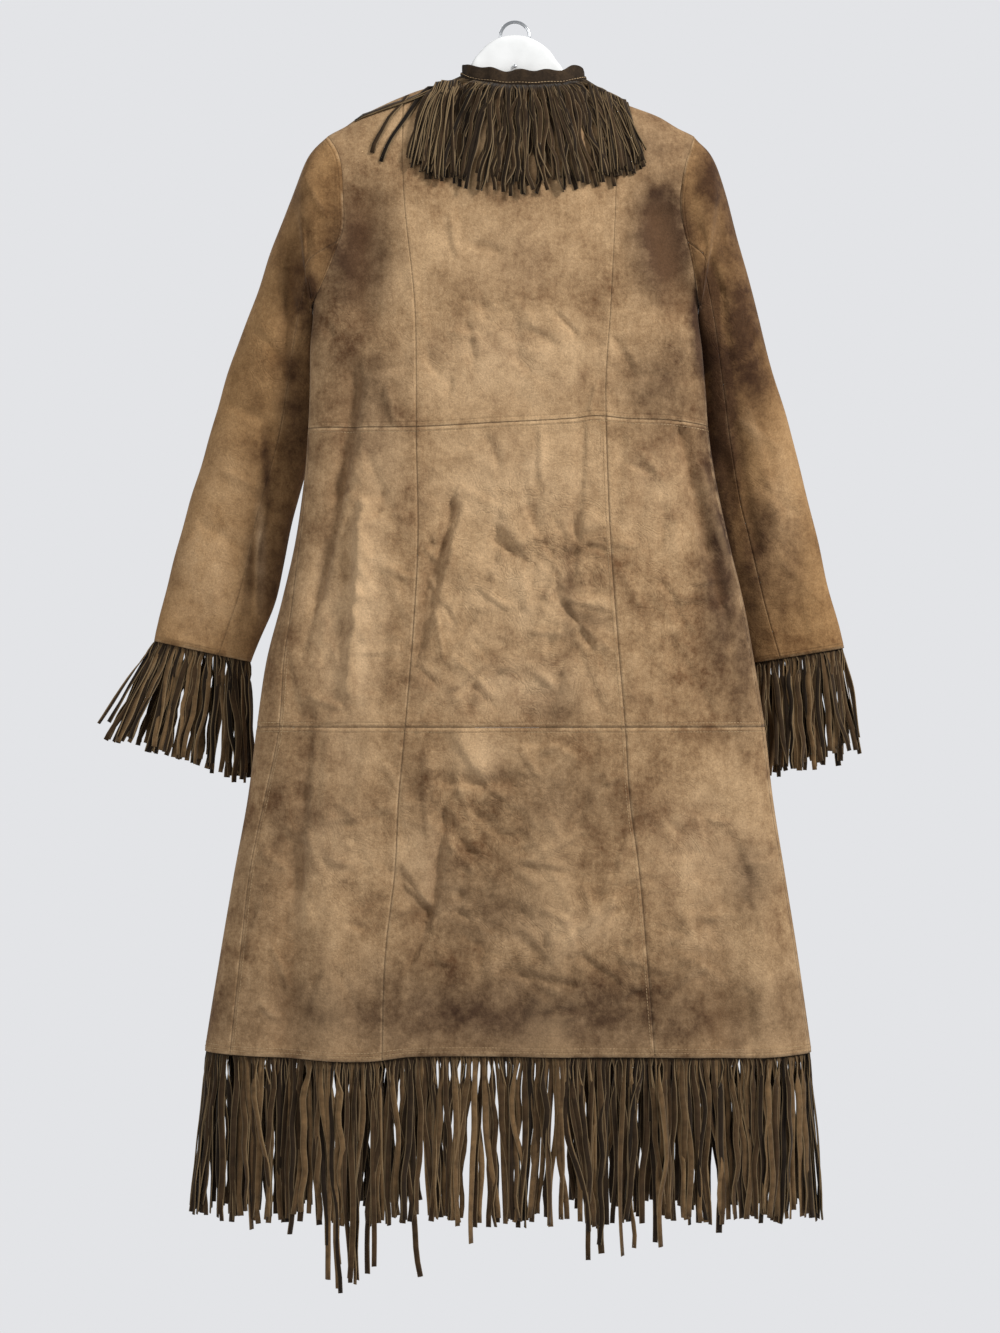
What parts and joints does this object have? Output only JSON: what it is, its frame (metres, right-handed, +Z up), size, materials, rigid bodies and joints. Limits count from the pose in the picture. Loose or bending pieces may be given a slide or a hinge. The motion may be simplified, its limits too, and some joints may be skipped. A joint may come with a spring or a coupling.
{
  "type": "fringed suede coat on hanger",
  "caption": "Long open-fronted suede duster coat with fringe at collar, cuffs and hem, hung flat on a domed hanger with a wire hook.",
  "frame": {"origin": "inside top of the hook, where a rail bears", "axes": "+Z up along the hanging coat, the back of the coat faces -Y and its open front faces +Y, +X to the wearer's right"},
  "size_m": [0.8356, 0.1349, 1.4086],
  "materials": {
    "suede": "brushed matt suede, mottled tan",
    "suede_sleeve": "brushed matt suede, warmer tan",
    "suede_dark": "brushed matt suede, dark brown",
    "fringe": "cut suede strands, dark brown with paler edges",
    "hanger_plastic": "white moulded plastic, satin",
    "hook_steel": "bright plated wire"
  },
  "bodies": {
    "root": {"back_left_upper": "suede", "back_left_middle": "suede", "back_left_lower": "suede", "back_centre_upper": "suede", "back_centre_middle": "suede", "back_centre_lower": "suede", "back_right_upper": "suede", "back_right_middle": "suede", "back_right_lower": "suede", "front_left_upper": "suede", "front_left_middle": "suede", "front_left_lower": "suede", "front_right_upper": "suede", "front_right_middle": "suede", "front_right_lower": "suede", "sleeve_left_upper": "suede_sleeve", "sleeve_left_under": "suede_sleeve", "sleeve_right_upper": "suede_sleeve", "sleeve_right_under": "suede_sleeve", "collar": "suede_dark", "collar_fringe": "fringe", "cuff_fringe_left": "fringe", "cuff_fringe_right": "fringe", "hem_fringe_back": "fringe", "hem_fringe_front_left": "fringe", "hem_fringe_front_right": "fringe", "hanger": "hanger_plastic", "hook": "hook_steel", "rivet": "hook_steel"}
  },
  "joints": []
}
